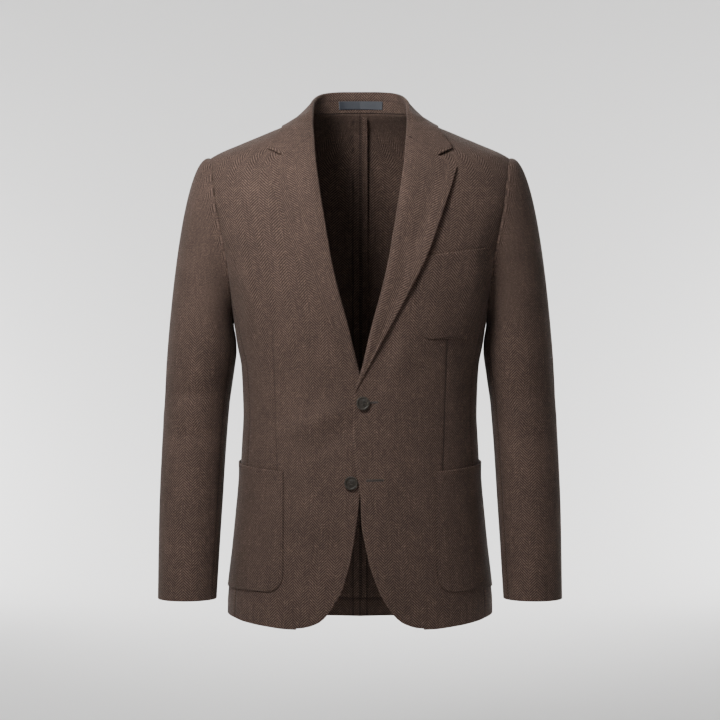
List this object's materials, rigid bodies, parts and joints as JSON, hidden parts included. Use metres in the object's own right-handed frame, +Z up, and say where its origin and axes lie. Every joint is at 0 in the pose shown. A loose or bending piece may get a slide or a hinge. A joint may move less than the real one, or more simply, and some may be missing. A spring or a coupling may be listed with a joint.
{
  "type": "linen blazer, worn shape with no wearer",
  "caption": "Brown linen single-breasted blazer with notch lapels and patch pockets, buttoned once, in its hollow worn shape.",
  "frame": {"origin": "the nape: the middle of the back neck seam, where the wearer holds the jacket up", "axes": "+Z up, +X to the wearer's left, -Y to the front"},
  "size_m": [0.58, 0.2728, 0.7826],
  "materials": {
    "linen": "matt herringbone linen, dark warm brown with lighter slubs",
    "horn": "dark brown horn look, half polished",
    "label": "plain navy woven label, bare"
  },
  "bodies": {
    "root": {"back_left": "linen", "back_right": "linen", "side_left": "linen", "side_right": "linen", "front_left": "linen", "front_right": "linen", "lapel_left": "linen", "lapel_right": "linen", "collar": "linen", "top_sleeve_left": "linen", "top_sleeve_right": "linen", "under_sleeve_left": "linen", "under_sleeve_right": "linen", "patch_pocket_left": "linen", "patch_pocket_right": "linen", "chest_pocket": "linen", "button_top": "horn", "button_low": "horn", "neck_label": "label"}
  },
  "joints": []
}
